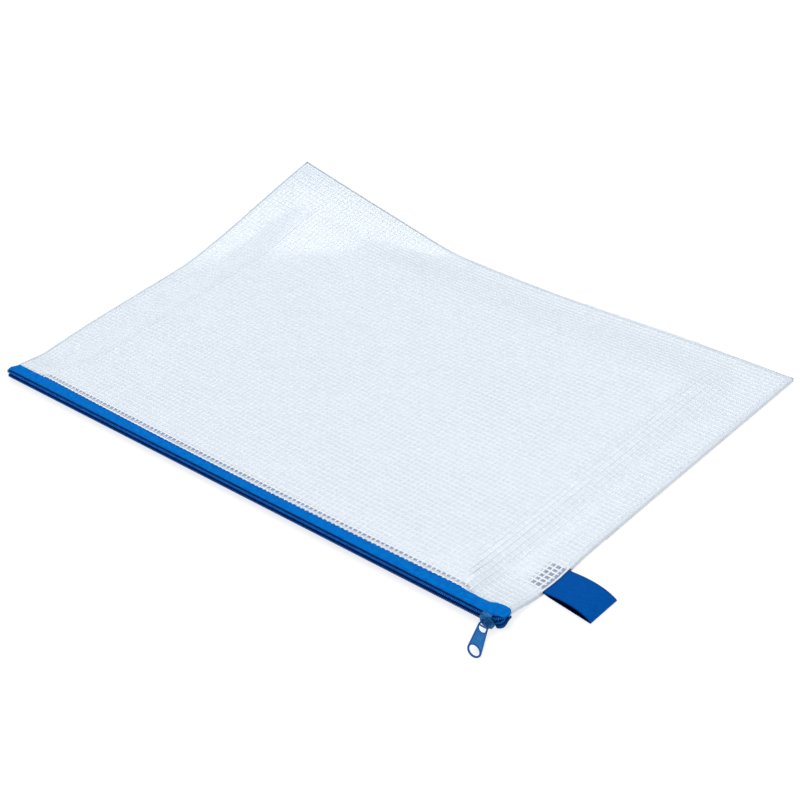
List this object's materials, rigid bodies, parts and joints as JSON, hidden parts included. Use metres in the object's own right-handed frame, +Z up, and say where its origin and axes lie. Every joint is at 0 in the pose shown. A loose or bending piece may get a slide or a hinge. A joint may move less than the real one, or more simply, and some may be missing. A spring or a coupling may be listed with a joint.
{
  "type": "mesh zipper pouch",
  "caption": "Flat document pouch of clear scrim-reinforced mesh with a blue coil zip along the front, a slider with a pull tab and a ribbon loop, one back corner curled up.",
  "frame": {"origin": "middle of the bottom panel's underside, on the table", "axes": "+X along the zip towards the closed slider, +Y from the zip to the back edge, +Z up"},
  "size_m": [0.3833, 0.2514, 0.0272],
  "materials": {
    "clear_mesh": "clear film with white scrim",
    "folded_mesh": "the same film in several layers",
    "white_thread": "twisted thread",
    "zip_tape": "woven",
    "zip_coil": "satin filament",
    "coil_thread": "twisted thread",
    "slider_enamel": "satin enamel",
    "ribbon": "woven, fine grained"
  },
  "bodies": {
    "pouch": {"bottom_mesh_panel": "clear_mesh", "top_mesh_panel": "clear_mesh", "left_seam_allowance": "folded_mesh", "right_seam_allowance": "folded_mesh", "back_seam_allowance": "folded_mesh", "left_seam_thread": "white_thread", "right_seam_thread_front": "white_thread", "right_seam_thread_rear": "white_thread", "back_seam_thread": "white_thread", "strap_stitching": "white_thread", "upper_zip_tape": "zip_tape", "upper_zip_coil": "zip_coil", "upper_coil_cord": "white_thread", "upper_coil_thread": "coil_thread", "lower_zip_tape": "zip_tape", "lower_zip_coil": "zip_coil", "lower_coil_cord": "white_thread", "lower_coil_thread": "coil_thread", "top_mesh_stitching": "white_thread", "bottom_mesh_stitching": "white_thread", "strap_loop": "ribbon"},
    "slider": {"slider_body": "slider_enamel", "slider_bridge": "slider_enamel"},
    "pull": {"pull_tab": "slider_enamel"}
  },
  "joints": [
    {"name": "slider_slide", "type": "slide", "parent": "pouch", "child": "slider", "axis": [-1, 0, 0], "range_m": [0, 0.333]},
    {"name": "pull_swing", "type": "hinge", "parent": "slider", "child": "pull", "pos_m": [0.171, -0.11947, 0.00375], "axis": [0, 0, 1], "range_deg": [-65, 20]}
  ]
}
